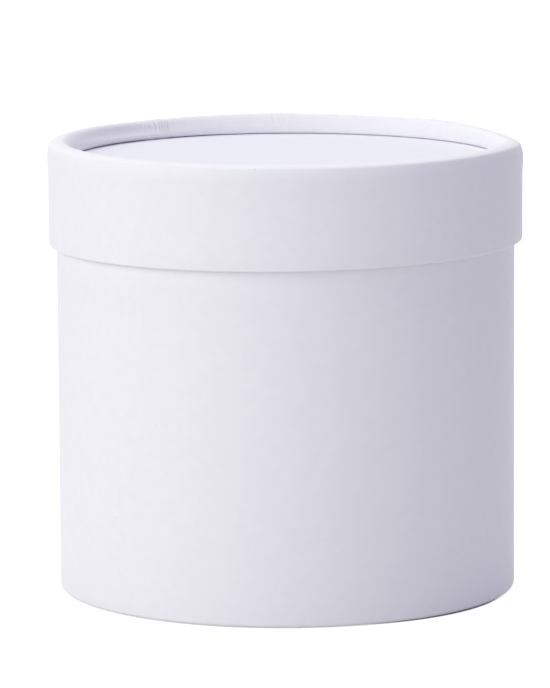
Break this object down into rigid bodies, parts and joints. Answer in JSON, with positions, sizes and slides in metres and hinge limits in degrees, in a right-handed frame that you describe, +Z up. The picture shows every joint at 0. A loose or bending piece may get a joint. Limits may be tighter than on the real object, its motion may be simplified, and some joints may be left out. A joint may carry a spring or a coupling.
{
  "type": "cylindrical gift tube box",
  "caption": "Round paperboard gift box: a paper-wrapped tube with a flat base, and a slip-on lid whose rolled rim frames a recessed disc.",
  "frame": {"origin": "centre of the under side, in the plane of the table", "axes": "+Z up along the tube's axis and the way the lid lifts; -Y is the pictured front, away from both paper seams"},
  "size_m": [0.1556, 0.1556, 0.1481],
  "materials": {
    "white_wrap": "smooth satin white wrapping paper, a little cool",
    "panel_paper": "the same white wrapping paper, laid flat on the lid's disc",
    "white_lining": "matt uncoated white lining paper",
    "greyboard": "raw recycled greyboard, matt and fibrous"
  },
  "bodies": {
    "box_body": {"body_tube": "greyboard", "body_wrap": "white_wrap", "body_liner": "white_lining", "base_disc": "greyboard", "base_lining": "white_lining", "base_sheet": "white_wrap"},
    "lid": {"lid_band": "greyboard", "lid_wrap": "white_wrap", "lid_liner": "white_lining", "lid_disc": "greyboard", "lid_disc_cover": "panel_paper", "lid_disc_lining": "white_lining"}
  },
  "joints": [
    {"name": "lid_lift", "type": "slide", "parent": "box_body", "child": "lid", "axis": [0, 0, 1], "range_m": [0, 0.06]}
  ]
}
